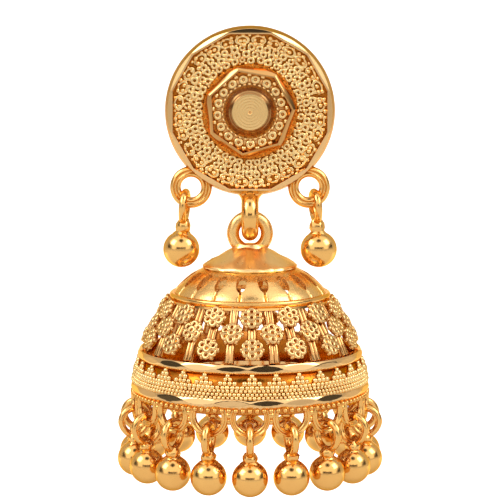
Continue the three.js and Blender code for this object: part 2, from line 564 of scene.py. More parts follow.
class Piece:
    """Joins shapes in millimetres, each repeated at its places, into one object in metres."""

    def __init__(self, name: str, frame: Matrix = Matrix.Identity(4)) -> None:
        """Starts an empty piece.

        Args:
            name: the object's name.
            frame: what stands the piece up and moves it to its place, in millimetres.
        """
        self.name = name
        self.frame = frame
        self.points: list[np.ndarray] = []
        self.corners: list[np.ndarray] = []
        self.sizes: list[np.ndarray] = []
        self.finishes: list[np.ndarray] = []
        self.hollows: list[np.ndarray] = []
        self.point_count = 0

    def add(
        self,
        bm: bmesh.types.BMesh,
        places: Iterable[Matrix] = (Matrix.Identity(4),),
        hollow: float = 0.0,
        finish: int = 0,
    ) -> "Piece":
        """Adds a shape at each of its places.

        Args:
            bm: the shape, which is used up.
            places: where it stands.
            hollow: how much painted shade darkens it: 1 for gold that lies deep between other pieces, 0 for
                what stands proud.
            finish: which of the piece's finishes it has.

        Returns:
            The piece itself.
        """
        mesh = bpy.data.meshes.new("shape")
        bm.to_mesh(mesh)
        bm.free()
        points = np.empty(len(mesh.vertices) * 3)
        mesh.vertices.foreach_get("co", points)
        corners = np.empty(len(mesh.loops), np.int32)
        mesh.loops.foreach_get("vertex_index", corners)
        sizes = np.empty(len(mesh.polygons), np.int32)
        mesh.polygons.foreach_get("loop_total", sizes)
        bpy.data.meshes.remove(mesh)
        flat = np.c_[points.reshape(-1, 3), np.ones(len(points) // 3)]
        for place in places:
            self.points.append((flat @ np.array(self.frame @ place).T)[:, :3])
            self.corners.append(corners + self.point_count)
            self.sizes.append(sizes)
            self.finishes.append(np.full(len(sizes), finish, np.int32))
            self.hollows.append(np.full(len(flat), hollow, np.float32))
            self.point_count += len(flat)
        return self

    def finish(
        self, finishes: Sequence[bpy.types.Material], slot: str, body: str, replaces: str, sharp: float
    ) -> bpy.types.Object:
        """Makes the object and ties it to the frame.

        Args:
            finishes: its materials.
            slot: the record's material slot; not used.
            body: the body that it moves with.
            replaces: the node that it stands for.
            sharp: edges that turn more than this many degrees stay sharp.

        Returns:
            The object.
        """
        mesh = bpy.data.meshes.new(self.name)
        points = np.concatenate(self.points) * MM
        corners = np.concatenate(self.corners)
        sizes = np.concatenate(self.sizes)
        mesh.vertices.add(len(points))
        mesh.vertices.foreach_set("co", points.ravel())
        mesh.loops.add(len(corners))
        mesh.loops.foreach_set("vertex_index", corners)
        mesh.polygons.add(len(sizes))
        mesh.polygons.foreach_set("loop_start", np.r_[0, np.cumsum(sizes)[:-1]].astype(np.int32))
        mesh.polygons.foreach_set("material_index", np.concatenate(self.finishes))
        mesh.update(calc_edges=True)
        mesh.validate()
        hollow = mesh.attributes.new("hollow", "FLOAT", "POINT")
        hollow.data.foreach_set("value", np.concatenate(self.hollows))
        mesh.shade_smooth()
        mesh.set_sharp_from_angle(angle=math.radians(sharp))
        for material in finishes:
            mesh.materials.append(material)
        made = bpy.data.objects.new(self.name, mesh)
        bpy.context.scene.collection.objects.link(made)
        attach(made, body)
        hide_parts(replaces)
        log.info("%s: %d faces on %s", self.name, len(sizes), body)
        return made


@dataclass(frozen=True)
class Goldsmith:
    """The finishes, made once, and the one source of the small differences between like pieces."""

    cast: bpy.types.Material
    granulated: bpy.types.Material
    buffed: bpy.types.Material
    diamond_cut: bpy.types.Material
    turned: bpy.types.Material
    worn: bpy.types.Material
    chance: np.random.Generator

    def wobble(self, amount: float) -> float:
        """A small chance deviation, either way."""
        return float(self.chance.uniform(-amount, amount))


# ---------------------------------------------------------------- the stud


@dataclass(frozen=True)
class GrainRow:
    """A row of like grains round the stud.

    Attributes:
        radius: the row's radius.
        count: how many grains it has.
        start: the first one's angle, in degrees.
        size: a grain's own radius.
    """

    radius: float
    count: int
    start: float
    size: float


@dataclass
class Stud:
    """The disc that sits on the lobe, with all that is soldered to it.

    Profiles are radius and height over the disc's flat back, in mm.
    """

    smith: Goldsmith
    hang: Vector  # the middle of the bail's ring, in the row's frame
    radius: float = 7.75
    field_height: float = 0.72
    grain_rise: float = 0.34  # how far the middles of the grains are over the field
    grain_wire: float = 0.16  # radius of the wire that the field's rings are bent from
    ovals: GrainRow = GrainRow(6.5, 28, 6.0, 0.44)
    rings: Sequence[GrainRow] = (
        GrainRow(5.8, 46, 3.0, 0.25),
        GrainRow(5.24, 42, 0.0, 0.25),
        GrainRow(4.68, 38, 3.0, 0.25),
    )
    granules: Sequence[GrainRow] = (
        GrainRow(6.9, 72, 0.0, 0.22),
        GrainRow(6.1, 64, 0.0, 0.22),
        GrainRow(5.52, 58, 3.0, 0.21),
        GrainRow(4.96, 52, 1.0, 0.21),
        GrainRow(4.42, 46, 0.0, 0.19),
    )
    field_bed: Profile = ((4.1, 0.62), (4.1, 0.86), (7.2, 0.82), (7.2, 0.62), (4.1, 0.62))
    rim: FacetedRing = FacetedRing(12, 0.0, 7.76, 7.5, 7.2, 7.04, 0.25, 1.72, 34.0)
    rim_edge: Profile = ((7.56, 1.44), (7.795, 0.3), (7.7, 0.3), (7.5, 1.44), (7.56, 1.44))
    collar: FacetedRing = FacetedRing(7, 80.3, 4.42, 4.2, 3.58, 3.42, 0.6, 2.2, 48.0)
    collar_bed: Profile = ((2.0, 0.82), (2.0, 1.42), (3.6, 1.52), (4.0, 0.82), (2.0, 0.82))
    collar_beads: int = 17
    bead_height: float = 1.58
    boss_face: Profile = ((0.0, 2.48), (0.07, 2.49), (0.13, 2.57), (0.2, 2.6), (1.62, 2.6), (1.62, 2.4))
    boss_bevel: Profile = ((1.62, 2.4), (1.64, 2.58), (2.36, 1.82), (2.4, 1.76), (2.4, 0.7), (1.6, 0.7))
    eye_middle: tuple[float, float] = (5.41, -6.97)
    eye_radii: tuple[float, float] = (0.92, 1.94)
    eye_thickness: float = 0.95
    bail_ring: float = 1.52
    bail_wire: float = 0.79
    post_radius: float = 0.45
    post_length: float = 10.5
    notch_from_tip: float = 1.9

    def build(self) -> None:
        """Makes every piece of the stud."""
        self._back()
        self._rim()
        self._field()
        self._collar()
        self._boss()
        self._eyes()
        self._bail()

    def _finish(
        self, piece: Piece, finishes: Sequence[bpy.types.Material], slot: str, sharp: float
    ) -> None:
        """Ties a piece of the stud to its body."""
        piece.finish(finishes, slot, "stud", "stud", sharp)

    def _back(self) -> None:
        """Makes the flat back plate with its ear post."""
        tip = -self.post_length
        notch = tip + self.notch_from_tip
        profile = [
            (0.0, self.field_height - 0.05),
            (7.4, self.field_height - 0.1),
            (self.radius - 0.12, 0.5),
            (self.radius, 0.3),
            (self.radius, 0.1),
            (self.radius - 0.1, 0.0),
            (1.05, 0.0),
            (0.95, -0.12),
            (0.75, -0.34),
            (0.5, -0.5),
            (self.post_radius, -0.7),
            (self.post_radius, notch + 0.2),
            (self.post_radius - 0.1, notch + 0.08),
            (self.post_radius - 0.1, notch - 0.08),
            (self.post_radius, notch - 0.2),
            (self.post_radius, tip + 0.3),
            (self.post_radius - 0.12, tip + 0.1),
            (0.18, tip + 0.01),
            (0.0, tip),
        ]
        piece = Piece("stud_back_and_post", FACE_FRONT).add(spun(profile, 96))
        self._finish(piece, [self.smith.cast], "granulated_gold", 30.0)

    def _rim(self) -> None:
        """Makes the raised rim with its flats."""
        piece = Piece("stud_rim", FACE_FRONT).add(self.rim.build())
        # The turned edge below the flats is painted dark, as painted shade.
        piece.add(spun(self.rim_edge, 120), hollow=0.6, finish=1)
        self._finish(piece, [self.smith.diamond_cut, self.smith.turned], "polished_gold", 12.0)

    def _field(self) -> None:
        """Makes the granulated field between rim and collar: rows of wire ovals, rings and granules."""
        piece = Piece("stud_granulated_field", FACE_FRONT)
        row = self.ovals
        oval = wire_ring(row.size, self.grain_wire, 14, 6)
        bmesh.ops.scale(oval, vec=(0.84, 1.28, 1.0), verts=oval.verts)
        angles = evenly(row.count, row.start)
        piece.add(oval, [self._loose(a, row.radius, 0.04, 0.05) for a in angles])
        pairs = [a + side * 2.2 for a in angles for side in (-1, 1)]
        piece.add(granule(0.23), [self._loose(a, row.radius, -0.02, 0.1) for a in pairs])
        for row in self.rings:
            places = [self._loose(a, row.radius, 0.0, 0.12) for a in evenly(row.count, row.start)]
            piece.add(wire_ring(row.size, self.grain_wire, 10, 6), places)
        for row in self.granules:
            places = [self._loose(a, row.radius, 0.03, 0.22) for a in evenly(row.count, row.start)]
            piece.add(granule(row.size), places)
        # The bed between the grains is painted dark, as painted shade.
        piece.add(spun(self.field_bed, 96), hollow=1.0)
        self._finish(piece, [self.smith.granulated], "granulated_gold", 80.0)

    def _loose(self, angle: float, radius: float, sink: float, vary: float) -> Matrix:
        """A place in the granulated field, a little off its even spacing.

        Args:
            angle: degrees round the disc.
            radius: distance from the middle.
            sink: how much lower than the other grains it sits.
            vary: by what share its size varies.

        Returns:
            The place.
        """
        height = self.field_height + self.grain_rise - sink + self.smith.wobble(0.07)
        angle += self.smith.wobble(1.0)
        radius += self.smith.wobble(0.06)
        return on_disc(angle, radius, height, 0.0, 1 + self.smith.wobble(vary))

    def _collar(self) -> None:
        """Makes the seven-sided collar and the ring of beads inside it."""
        # The collar is darkened with painted shade.
        piece = Piece("stud_collar", FACE_FRONT).add(self.collar.build(), hollow=0.55)
        self._finish(piece, [self.smith.diamond_cut], "polished_gold", 12.0)
        # The bed under the beads is darkened with painted shade.
        beads = Piece("stud_collar_beads", FACE_FRONT).add(spun(self.collar_bed, 84), hollow=0.5)
        first = self.collar.turn
        count = self.collar_beads
        rings = [on_disc(a, 2.98, self.bead_height) for a in evenly(count, first)]
        beads.add(wire_ring(0.29, 0.19, 12, 6), rings)
        outer = [on_disc(a, 3.4, self.bead_height) for a in evenly(count, first + 180 / count)]
        beads.add(granule(0.26), outer)
        inner = [on_disc(a, 2.5, self.bead_height - 0.06) for a in evenly(2 * count, first)]
        beads.add(granule(0.18), inner)
        self._finish(beads, [self.smith.granulated], "granulated_gold", 80.0)

    def _boss(self) -> None:
        """Makes the turned boss in the middle, with a centre mark and its bevel darkened with painted shade.
        """
        piece = Piece("stud_boss", FACE_FRONT).add(spun(self.boss_face, 96))
        # The bevel is painted dark, as painted shade.
        piece.add(spun(self.boss_bevel, 96), hollow=0.62)
        self._finish(piece, [self.smith.turned], "polished_gold", 12.0)

    def _eyes(self) -> None:
        """Makes the two eyes that the side drops hang from."""
        hole, outer = self.eye_radii
        x, z = self.eye_middle
        for side, name in ((-1, "side_eye_left"), (1, "side_eye_right")):
            frame = moved(side * x, self.hang.y, z) @ FACE_FRONT
            piece = Piece(name, frame).add(grooved_ring(hole, outer, self.eye_thickness, 48))
            solder = granule(0.5)
            bmesh.ops.scale(solder, vec=(1.2, 0.7, 0.85), verts=solder.verts)
            roughen(solder, 0.08, 0.4, 5 + side)
            foot = math.degrees(math.atan2(-z, -side * x))
            piece.add(solder, [on_disc(foot, 1.62, 0.0, 90.0)])
            self._finish(piece, [self.smith.buffed], "polished_gold", 60.0)

    def _bail(self) -> None:
        """Makes the loop that carries the bell, with its soldered foot under the disc."""
        upright = moved(*self.hang) @ Matrix.Rotation(math.radians(90), 4, "Y")
        piece = Piece("bail").add(wire_ring(self.bail_ring, self.bail_wire, 48, 20), [upright])
        foot = spun(
            [(0.0, 1.3), (1.2, 1.3), (1.18, 1.1), (1.02, 0.85), (0.88, 0.6), (0.76, 0.2), (0.0, 0.2)], 32
        )
        bmesh.ops.scale(foot, vec=(1.0, 0.62, 1.0), verts=foot.verts)
        roughen(foot, 0.12, 0.7, 3)
        piece.add(foot, [moved(self.hang.x, self.hang.y, self.hang.z + self.bail_ring - 0.55)])
        self._finish(piece, [self.smith.buffed], "polished_gold", 50.0)


# ---------------------------------------------------------------- the drops


@dataclass(frozen=True)
class DropSizes:
    """The sizes of one kind of drop.

    Attributes:
        link_ring: the link's radius, to the middle of its wire.
        link_wire: radius of the link's wire.
        bead: the bead's radius.
    """

    link_ring: float
    link_wire: float
    bead: float


SIDE_DROP = DropSizes(1.34, 0.35, 1.68)
RIM_DROP = DropSizes(1.27, 0.34, 1.62)


def outward_angle(node: str, axis: Vector) -> float:
    """Finds where round an upright axis a node of the frame lies.

    Args:
        node: the node's name.
        axis: a point on the axis, in mm.

    Returns:
        Its angle, in degrees.
    """
    low, high = (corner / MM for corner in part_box(node))
    middle = (low + high) / 2
    return math.degrees(math.atan2(middle.y - axis.y, middle.x - axis.x))


@dataclass
class Drop:
    """A link soldered to a hollow bead. It takes its place from its node of the frame.

    Attributes:
        smith: who makes it.
        node: the node that it stands for.
        body: the body that it moves with.
        sizes: the sizes of its kind.
        facing: the angle that its link's plane runs through, in degrees.
        seed: which lumps its solder has.
        lean: degrees that it hangs out of plumb.
    """

    smith: Goldsmith
    node: str
    body: str
    sizes: DropSizes
    facing: float
    seed: int
    lean: float = 0.0

    def build(self) -> None:
        """Makes the drop as one piece."""
        low, high = (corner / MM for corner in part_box(self.node))
        middle = (low + high) / 2
        link_middle = high.z - self.sizes.link_ring - self.sizes.link_wire
        bead_middle = low.z + self.sizes.bead
        frame = (
            moved(middle.x, middle.y, high.z)
            @ Matrix.Rotation(math.radians(self.lean), 4, "Y")
            @ Matrix.Rotation(math.radians(self.facing + self.smith.wobble(7.0)), 4, "Z")
            @ moved(0, 0, -high.z)
        )
        piece = Piece(f"{self.node}_bead_and_link", frame)
        piece.add(self._link(), [moved(0, 0, link_middle)])
        link_foot = link_middle - self.sizes.link_ring + 0.5 * self.sizes.link_wire
        crown = bead_middle + 0.86 * self.sizes.bead
        piece.add(self._neck(max(link_foot - crown, 0.3)), [moved(0, 0, crown)])
        piece.add(ball(self.sizes.bead), [moved(0, 0, bead_middle)])
        piece.finish([self.smith.buffed], "polished_gold", self.body, self.node, 50.0)

    def _link(self) -> bmesh.types.BMesh:
        """Bends the link, which stands upright and narrows a little towards its bead.

        Returns:
            The link, with its hole along Y.
        """
        link = wire_ring(self.sizes.link_ring, self.sizes.link_wire, 36, 12)
        upright = Matrix.Rotation(math.radians(90), 3, "X")
        bmesh.ops.rotate(link, verts=link.verts, cent=(0, 0, 0), matrix=upright)
        outer = self.sizes.link_ring + self.sizes.link_wire
        for vert in link.verts:
            vert.co.x *= 1.0 - 0.13 * max(0.0, -vert.co.z / outer)
        return link

    def _neck(self, height: float) -> bmesh.types.BMesh:
        """Makes the neck of solder between link and bead.

        Args:
            height: distance from the bead's crown to the link's foot.

        Returns:
            The neck, standing on the bead's crown.
        """
        profile = [
            (0.0, height),
            (0.46, height),
            (0.68, 0.66 * height),
            (0.7, 0.38 * height),
            (0.62, 0.18 * height),
            (0.82, 0.0),
            (0.94, -0.16),
            (0.0, -0.2),
        ]
        neck = spun(profile, 20)
        roughen(neck, 0.14, 0.45, self.seed)
        return neck


# ---------------------------------------------------------------- the bell


@dataclass(frozen=True)
class FlutedShoulder:
    """A shell of petals with a slot between each two.

    Attributes:
        petals: how many petals.
        steps: steps round one petal.
        edge: steps from a slot's middle to its edge.
        slot_radius: distance from the bell's axis to a slot's middle.
        slot_reach: half a slot's length.
        slot_breadth: half a slot's width.
        swell: radii where the petals start to stand out, and where they have their full shape.
        hem: radii where the petals have their full shape for the last time, and where they end.
        groove: radii where the groove between two petals starts, and where it is at its widest.
        crown: how far a petal's middle stands out.
        dip: how deep the groove is.
        thickness: how thick the shell is.
        outline: the shell's profile, as radius and height.
    """

    petals: int = 18
    steps: int = 24
    edge: int = 5
    slot_radius: float = 5.58
    slot_reach: float = 0.76
    slot_breadth: float = 0.46
    swell: tuple[float, float] = (4.6, 5.5)
    hem: tuple[float, float] = (6.9, 7.15)
    groove: tuple[float, float] = (5.9, 6.6)
    crown: float = 0.12
    dip: float = 0.24
    thickness: float = 0.4
    outline: Profile = (
        (3.3, -14.1),
        (4.2, -14.35),
        (4.8, -14.7),
        (5.4, -15.1),
        (6.0, -15.58),
        (6.55, -16.1),
        (6.85, -16.45),
        (7.08, -16.8),
    )

    def build(self) -> bmesh.types.BMesh:
        """Spins the shell, opens the slots and bends the petals.

        Returns:
            The shell, with its first slot's middle on X.
        """
        radii = np.linspace(self.outline[0][0], self.outline[-1][0], 34)
        profile = [(r, float(np.interp(r, *zip(*self.outline)))) for r in radii]
        bm = spun(profile, self.petals * self.steps)
        middles = {face: face.calc_center_median() for face in bm.faces}
        slots = [
            face
            for face, middle in middles.items()
            if self._slot_part(middle.xy.length) < 1 and abs(self._slot_step(middle)) < self.edge
        ]
        bmesh.ops.delete(bm, geom=slots, context="FACES")
        for vert in bm.verts:
            self._bend(vert)
        bmesh.ops.recalc_face_normals(bm, faces=bm.faces)
        if sum(face.normal.z for face in bm.faces) < 0:
            bmesh.ops.reverse_faces(bm, faces=bm.faces[:])
        bmesh.ops.solidify(bm, geom=bm.faces[:], thickness=self.thickness)
        return bm

    def _slot_step(self, point: Vector) -> float:
        """How many steps round a point is from the nearest slot's middle."""
        across = math.atan2(point.y, point.x) / (math.tau / self.petals)
        return (across - round(across)) * self.steps

    def _slot_part(self, radius: float) -> float:
        """How far along a slot a radius is: 0 in its middle, 1 at its ends."""
        return abs(radius - self.slot_radius) / self.slot_reach

    def _bend(self, vert: bmesh.types.BMVert) -> None:
        """Bends a point round the edge of a slot, and up on a petal or down into a groove.

        Args:
            vert: the point.
        """
        pitch = math.tau / self.petals
        radius = vert.co.xy.length
        steps = self._slot_step(vert.co)
        part = self._slot_part(radius)
        half_slot = max(self.slot_breadth * max(0.0, 1 - part**3) ** 0.4, 0.14) / radius
        if abs(steps) <= self.edge:
            bent = half_slot * abs(steps) / self.edge
        else:
            left = (abs(steps) - self.edge) / (self.steps / 2 - self.edge)
            bent = half_slot + (pitch / 2 - half_slot) * left
        shift = math.copysign(bent, steps) - steps * pitch / self.steps
        # The petals grow out of the smooth crown and end at the ring under them.
        share = ramp(radius, *self.swell) * ramp(radius, *reversed(self.hem))
        groove = ramp(radius, *self.groove)
        across = abs(steps) / (self.steps / 2)
        crown = self.crown * math.sin(across * math.pi / 2)
        dip = self.dip * groove * ramp(across, 0.12 + 0.28 * groove, 0.0)
        height = vert.co.z + share * (crown - dip)
        vert.co = Matrix.Rotation(shift, 3, "Z") @ vert.co
        vert.co.z = height


@dataclass(frozen=True)
class CutBand:
    """A swelling band that a diamond tool grinds a row of flats on, by hand.

    Attributes:
        name: the piece's name.
        radius: radius at its edges.
        top: height of its upper edge.
        height: how tall it is.
        flats: how many flats.
        swell: how far its middle stands out.
        depth: how deep a flat is cut, and how much that varies.
        lean: how much a flat leans back for its height, and how much that varies.
    """

    name: str
    radius: float
    top: float
    height: float
    flats: int
    swell: float = 0.2
    depth: tuple[float, float] = (0.09, 0.02)
    lean: tuple[float, float] = (0.16, 0.08)

    def build(self, smith: Goldsmith) -> bmesh.types.BMesh:
        """Spins the band and grinds the flats.

        Args:
            smith: the source of the small differences.

        Returns:
            The band, with its first flat facing X.
        """
        inside = self.radius - 0.5
        crest = [
            (self.radius + self.swell * math.sin(math.pi * s), self.top - self.height * s)
            for s in np.linspace(0, 1, 15)
        ]
        profile = [(inside, self.top), *crest, (inside, self.top - self.height), (inside, self.top)]
        bm = spun(profile, self.flats * 20)
        pitch = math.tau / self.flats
        depths = [self.depth[0] + smith.wobble(self.depth[1]) for _ in range(self.flats)]
        leans = [self.lean[0] + smith.wobble(self.lean[1]) for _ in range(self.flats)]
        for vert in bm.verts:
            turn = round(math.atan2(vert.co.y, vert.co.x) / pitch)
            flat = turn % self.flats
            out = Vector((math.cos(turn * pitch), math.sin(turn * pitch), 0))
            above = vert.co.z - self.top + self.height / 2
            beyond = vert.co.dot(out) - (self.radius + self.swell - depths[flat] - leans[flat] * above)
            if beyond > 0:
                vert.co -= beyond * out
        return bm


@dataclass(frozen=True)
class BeadRow:
    """A row of like beads round the bell.

    Attributes:
        height: the row's height.
        radius: the row's radius.
        count: how many beads it has, or how many each triangle has in it.
        size: a bead's own radius.
    """

    height: float
    radius: float
    count: int
    size: float


@dataclass
class Bell:
    """The hollow bell, from its eye to its skirt of eyelets. Heights are in the row's frame."""

    smith: Goldsmith
    axis: Vector  # the bell's upright axis meets the bail's ring here, in mm
    eye_top: float
    eyelet_foot: float
    eye_ring: float = 1.56
    eye_wire: float = 0.57
    saddle: Profile = ((0.0, -12.3), (1.35, -12.22), (1.52, -12.4), (1.8, -12.75), (0.0, -12.9))
    cap: Profile = (
        (0.0, -12.35),
        (1.35, -12.5),
        (1.75, -12.68),
        (2.3, -12.98),
        (2.9, -13.3),
        (3.5, -13.62),
        (4.2, -14.02),
        (4.36, -14.14),
        (4.4, -14.28),
        (4.32, -14.38),
        (3.3, -14.1),
        (0.0, -13.6),
    )
    shoulder: FlutedShoulder = FlutedShoulder()
    shoulder_turn: float = FRONT + 12.0
    ring_seat: Profile = ((7.2, -17.05), (7.52, -17.15), (7.58, -17.35), (7.2, -17.45), (7.2, -17.05))
    columns: int = 15
    # The outline of the pierced dome, as radius and height.
    dome: Profile = ((7.4, -17.1), (7.7, -17.7), (8.3, -18.7), (8.95, -19.7), (9.5, -20.8), (9.95, -21.9))
    cut_bands: Sequence[CutBand] = (
        CutBand("bell_upper_cut_band", 10.2, -21.82, 0.86, 21),
        CutBand("bell_lower_cut_band", 10.86, -24.76, 0.86, 22),
    )
    granule_wall: Profile = (
        (9.7, -22.6),
        (10.14, -22.62),
        (10.56, -23.9),
        (10.72, -24.9),
        (10.2, -24.9),
        (9.7, -22.6),
    )
    triangles: int = 30
    triangle_rows: Sequence[BeadRow] = (
        BeadRow(-23.78, 10.62, 5, 0.25),
        BeadRow(-23.42, 10.5, 4, 0.25),
        BeadRow(-23.07, 10.38, 2, 0.25),
        BeadRow(-22.79, 10.29, 1, 0.25),
    )
    bead_rows: Sequence[BeadRow] = (
        BeadRow(-24.06, 10.69, 168, 0.2),
        BeadRow(-24.37, 10.77, 170, 0.2),
        BeadRow(-24.66, 10.82, 172, 0.19),
    )
    eyelets: int = 18
    eyelet_radius: float = 10.62
    eyelet_radii: tuple[float, float] = (1.21, 1.84)
    eyelet_thickness: float = 0.6
    eyelet_cut: float = -25.7  # the eyelets end at this height, behind the hoop
    hoop: Profile = (
        (10.4, -25.4),
        (10.86, -25.45),
        (10.84, -26.1),
        (10.76, -26.2),
        (10.54, -26.2),
        (10.44, -26.1),
        (10.4, -25.4),
    )
    hoop_beads: BeadRow = BeadRow(-25.82, 10.82, 108, 0.26)

    def build(self) -> None:
        """Makes every piece of the bell."""
        self._cap()
        self._petals()
        self._shoulder_ring()
        self._bunches()
        self._cut_bands()
        self._granule_band()
        self._skirt()

    def _finish(
        self, piece: Piece, finishes: Sequence[bpy.types.Material], slot: str, sharp: float
    ) -> None:
        """Ties a piece of the bell to its body."""
        piece.finish(finishes, slot, "bell", "bell", sharp)

    @property
    def upright(self) -> Matrix:
        """The place of the bell's own axis."""
        return moved(self.axis.x, self.axis.y, 0)

    def wall(self, height: float) -> tuple[float, float]:
        """Finds the dome's wall at a height.

        Args:
            height: the height.

        Returns:
            The wall's radius, and how many degrees its outward direction points up by.
        """
        heights = [h for _, h in reversed(self.dome)]
        radii = [r for r, _ in reversed(self.dome)]
        step = 0.3
        radius, above, below = (float(np.interp(height + d, heights, radii)) for d in (0, step, -step))
        return radius, math.degrees(math.atan2(below - above, 2 * step))

    def _cap(self) -> None:
        """Makes the cast eye and the conical cap that it stands on."""
        piece = Piece("bell_eye_and_cap", self.upright)
        eye_middle = self.eye_top - self.eye_ring - self.eye_wire
        piece.add(wire_ring(self.eye_ring, self.eye_wire, 48, 16), [moved(0, 0, eye_middle) @ FACE_FRONT])
        saddle = spun(self.saddle, 40)
        bmesh.ops.scale(saddle, vec=(1.0, 0.72, 1.0), verts=saddle.verts)
        roughen(saddle, 0.1, 0.8, 9)
        # The saddle and cap take the paler gold, which is painted light.
        piece.add(saddle, finish=1)
        cap = spun(self.cap, 96)
        roughen(cap, 0.12, 0.7, 4)
        piece.add(cap, finish=1)
        self._finish(piece, [self.smith.cast, self.smith.worn], "granulated_gold", 50.0)

    def _petals(self) -> None:
        """Makes the fluted shoulder."""
        turned = self.upright @ Matrix.Rotation(math.radians(self.shoulder_turn), 4, "Z")
        piece = Piece("bell_petals", turned).add(self.shoulder.build())
        self._finish(piece, [self.smith.cast], "granulated_gold", 45.0)

    def _shoulder_ring(self) -> None:
        """Makes the bright ring under the petals."""
        crest = arc((7.18, -16.86), 0.27, 115, -60, 9)
        profile = [(6.7, -16.6), *crest, (7.3, -17.3), (6.9, -17.3), (6.7, -16.6)]
        piece = Piece("bell_shoulder_ring", self.upright).add(spun(profile, 120))
        piece.add(spun(self.ring_seat, 120))
        self._finish(piece, [self.smith.buffed], "polished_gold", 50.0)

    def _bunches(self) -> None:
        """Makes the pierced band: columns of two bunches of beads, and columns of one between them."""
        piece = Piece("bell_pierced_band", self.upright)
        first = FRONT + 1.0
        full = evenly(self.columns, first)
        between = evenly(self.columns, first + 180 / self.columns)
        bunches = self._on_dome(full, -18.0, 0.0)
        bunches += self._on_dome(full, -20.6, 0.0)
        bunches += self._on_dome(between, -19.3, 0.0)
        self._add_bunches(piece, bunches)
        for side in (-0.19, 0.19):
            # Each stem is two wires side by side, behind the bunches.
            aside = moved(side, 0, 0)
            for angles, height, length, top, foot in (
                (full, -19.35, 1.7, 0.24, 0.28),
                (between, -18.0, 1.9, 0.26, 0.28),
                (between, -20.9, 2.0, 0.24, 0.32),
            ):
                places = [place @ aside for place in self._on_dome(angles, height, -0.2)]
                # The stems are darkened with painted shade.
                piece.add(self._stem(length, top, foot), places, hollow=0.5)
        self._finish(piece, [self.smith.granulated], "granulated_gold", 70.0)

    def _on_dome(self, angles: Sequence[float], height: float, out: float) -> list[Matrix]:
        """Places at one height on the dome, a little off their even spacing.

        Args:
            angles: degrees round the bell.
            height: their height.
            out: how far they stand off the wall.

        Returns:
            The places.
        """
        radius, lean = self.wall(height)
        return [
            on_wall(angle + self.smith.wobble(0.4), radius + out, height + self.smith.wobble(0.05), lean)
            for angle in angles
        ]

    def _add_bunches(self, piece: Piece, places: Places) -> None:
        """Adds bunches of seven beaded wire rings, each on a domed bed.

        Args:
            piece: what they are added to.
            places: where they stand.
        """
        sixths = np.linspace(0, math.tau, 7)[:-1]
        spots = [(0.0, 0.0)] + [(0.62 * math.sin(a), 0.6 * math.cos(a)) for a in sixths]
        rings = [p @ moved(x, y, 0.36 - 0.3 * (x * x + y * y)) for p in places for x, y in spots]
        # The rings, beads and bed are darkened with painted shade, the bed the most.
        piece.add(wire_ring(0.28, 0.18, 10, 6), rings, hollow=0.25)
        notches = [(0.92 * math.sin(a), 0.88 * math.cos(a)) for a in sixths + math.pi / 6]
        beads = [p @ moved(x, y, 0.08) for p in places for x, y in notches]
        piece.add(granule(0.22), beads, hollow=0.25)
        bed = bmesh.new()
        bmesh.ops.create_uvsphere(bed, u_segments=14, v_segments=8, radius=1.0)
        bmesh.ops.scale(bed, vec=(0.96, 0.92, 0.34), verts=bed.verts)
        piece.add(bed, places, hollow=0.8)

    def _stem(self, length: float, top: float, foot: float) -> bmesh.types.BMesh:
        """A tapered round bar running up the wall.

        Args:
            length: how long it is.
            top: radius of its upper end.
            foot: radius of its lower end.

        Returns:
            The bar, along Y.
        """
        bm = bmesh.new()
        bmesh.ops.create_cone(bm, cap_ends=True, segments=10, radius1=foot, radius2=top, depth=length)
        along = Matrix.Rotation(math.radians(-90), 3, "X")
        bmesh.ops.rotate(bm, verts=bm.verts, cent=(0, 0, 0), matrix=along)
        soften(bm, 0.05, 60.0)
        return bm

    def _cut_bands(self) -> None:
        """Makes the two bands with ground flats."""
        turned = self.upright @ Matrix.Rotation(math.radians(FRONT + 8), 4, "Z")
        for band in self.cut_bands:
            piece = Piece(band.name, turned).add(band.build(self.smith))
            self._finish(piece, [self.smith.diamond_cut], "polished_gold", 35.0)

    def _granule_band(self) -> None:
        """Makes the band of little triangles of granules over rows of fine beads."""
        # The wall behind the granules is painted dark, as painted shade.
        piece = Piece("bell_granule_band", self.upright).add(spun(self.granule_wall, 120), hollow=1.0)
        # Degrees between two granules: the lowest row of each triangle reaches the next triangle's.
        spread = 360 / self.triangles / self.triangle_rows[0].count
        for row in self.triangle_rows:
            offsets = [(i - (row.count - 1) / 2) * spread for i in range(row.count)]
            places = [
                self._on_band(a + offset, row, 0.15, 0.03, 20, 0.12)
                for a in evenly(self.triangles, FRONT + 1)
                for offset in offsets
            ]
            piece.add(granule(row.size), places)
        for row in self.bead_rows:
            places = [self._on_band(a, row, 0.0, 0.02, 10, 0.1) for a in evenly(row.count)]
            piece.add(granule(row.size), places)
        self._finish(piece, [self.smith.granulated], "granulated_gold", 80.0)

    def _on_band(
        self, angle: float, row: BeadRow, drift: float, shift: float, lean: float, vary: float
    ) -> Matrix:
        """A place in a row of the granulated band, a little off its even spacing.

        Args:
            angle: degrees round the bell.
            row: the row.
            drift: the most degrees that it is off, or 0 for a row that is wound as beaded wire.
            shift: how far in or out it may be off.
            lean: degrees that the wall leans back there.
            vary: by what share its size varies.

        Returns:
            The place.
        """
        if drift:
            angle += self.smith.wobble(drift)
        radius = row.radius + self.smith.wobble(shift)
        return on_wall(angle, radius, row.height, lean, 1 + self.smith.wobble(vary))

    def _skirt(self) -> None:
        """Makes the skirt of eyelets that the fringe hangs from, under its beaded hoop."""
        piece = Piece("bell_skirt_of_eyelets", self.upright)
        hole, outer = self.eyelet_radii
        middle = self.eyelet_foot + outer
        eyelet = grooved_ring(hole, outer, self.eyelet_thickness, 40)
        cut(eyelet, (0, self.eyelet_cut - middle, 0), (0, 1, 0))
        piece.add(eyelet, [on_wall(a, self.eyelet_radius, middle) for a in evenly(self.eyelets, FRONT)])
        # The hoop is painted dark, as painted shade.
        piece.add(spun(self.hoop, 120), hollow=0.9)
        between = evenly(self.eyelets, FRONT + 180 / self.eyelets)
